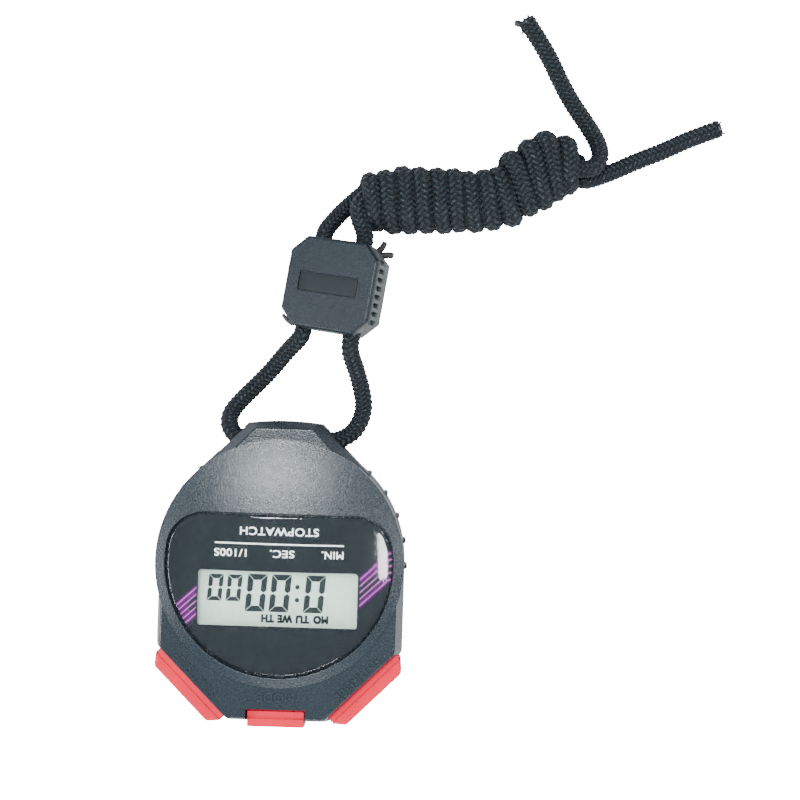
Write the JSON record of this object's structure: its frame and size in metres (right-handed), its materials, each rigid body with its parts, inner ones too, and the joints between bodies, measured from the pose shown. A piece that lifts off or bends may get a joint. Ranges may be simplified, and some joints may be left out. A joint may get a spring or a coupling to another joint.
{
  "type": "stopwatch",
  "caption": "Handheld digital stopwatch with domed front, D-shaped lens, liquid-crystal display, sprung push buttons and a braided neck cord wound up behind a square slider.",
  "frame": {"origin": "on the flat back face, below the centre of the domed front", "axes": "+Z out of the display, +Y towards the MODE button at 12 o'clock, +X to the START/STOP side; the watch lies on its back on the plane z = 0"},
  "size_m": [0.1482, 0.1929, 0.0199],
  "materials": {
    "case_plastic": "moulded charcoal plastic with a fine spark texture",
    "button_plastic": "salmon red moulded plastic, satin",
    "lens_clear": "clear acrylic, polished",
    "mask_print": "printed black film",
    "adhesive_tape": "black double-sided tape",
    "lcd_glass": "clear glass",
    "lcd_film": "pale green-grey reflective film",
    "lcd_polariser": "polariser film",
    "zebra_rubber": "silicone elastomer",
    "bezel_plastic": "white moulded plastic",
    "board": "green solder mask",
    "epoxy": "black epoxy",
    "steel": "plated steel",
    "brass": "brass",
    "ceramic": "silvered ceramic",
    "wire_red": "red PVC",
    "wire_black": "black PVC",
    "cord_braid": "braided navy-black polyester",
    "slider_plastic": "moulded charcoal plastic",
    "slider_back_plastic": "moulded grey plastic"
  },
  "bodies": {
    "watch": {"front_shell": "case_plastic", "back_shell": "case_plastic", "lens": "lens_clear", "lens_adhesive": "adhesive_tape", "face_mask": "mask_print", "circuit_board": "board", "chip_blob": "epoxy", "lcd_reflector": "lcd_film", "lcd_rear_plate": "lcd_glass", "lcd_seal": "epoxy", "lcd_front_plate": "lcd_glass", "lcd_polariser": "lcd_polariser", "zebra_strip": "zebra_rubber", "lcd_bezel": "bezel_plastic", "coin_cell": "steel", "battery_strap": "steel", "battery_leaf": "steel", "crystal_can": "steel", "board_capacitors": "ceramic", "board_resistors": "epoxy", "piezo_disc": "brass", "piezo_ceramic": "ceramic", "buzzer_wire_red": "wire_red", "buzzer_wire_black": "wire_black", "case_screws": "steel", "board_screws": "steel", "start_leaf": "steel", "split_leaf": "steel", "mode_leaf": "steel", "contact_posts": "brass", "slider_front": "slider_plastic", "slider_back": "slider_back_plastic", "cord_in_lug": "cord_braid", "cord_left_upper": "cord_braid", "cord_right_upper": "cord_braid", "cord_left_in_slider": "cord_braid", "cord_right_in_slider": "cord_braid", "cord_left_lower": "cord_braid", "cord_right_lower": "cord_braid", "cord_hank": "cord_braid", "cord_end_a": "cord_braid", "cord_end_b": "cord_braid"},
    "start_button": {"start_button": "button_plastic"},
    "split_button": {"split_button": "button_plastic"},
    "mode_button": {"mode_button": "button_plastic"}
  },
  "joints": [
    {"name": "start_press", "type": "slide", "parent": "watch", "child": "start_button", "axis": [-0.7071, -0.7071, 0], "range_m": [0, 0.001], "stiffness_N_per_m": 1500, "springref_m": -0.0006, "deforming": ["start_leaf"]},
    {"name": "split_press", "type": "slide", "parent": "watch", "child": "split_button", "axis": [0.7071, -0.7071, 0], "range_m": [0, 0.001], "stiffness_N_per_m": 1500, "springref_m": -0.0006, "deforming": ["split_leaf"]},
    {"name": "mode_press", "type": "slide", "parent": "watch", "child": "mode_button", "axis": [0, -1, 0], "range_m": [0, 0.001], "stiffness_N_per_m": 1500, "springref_m": -0.0006, "deforming": ["mode_leaf"]}
  ]
}
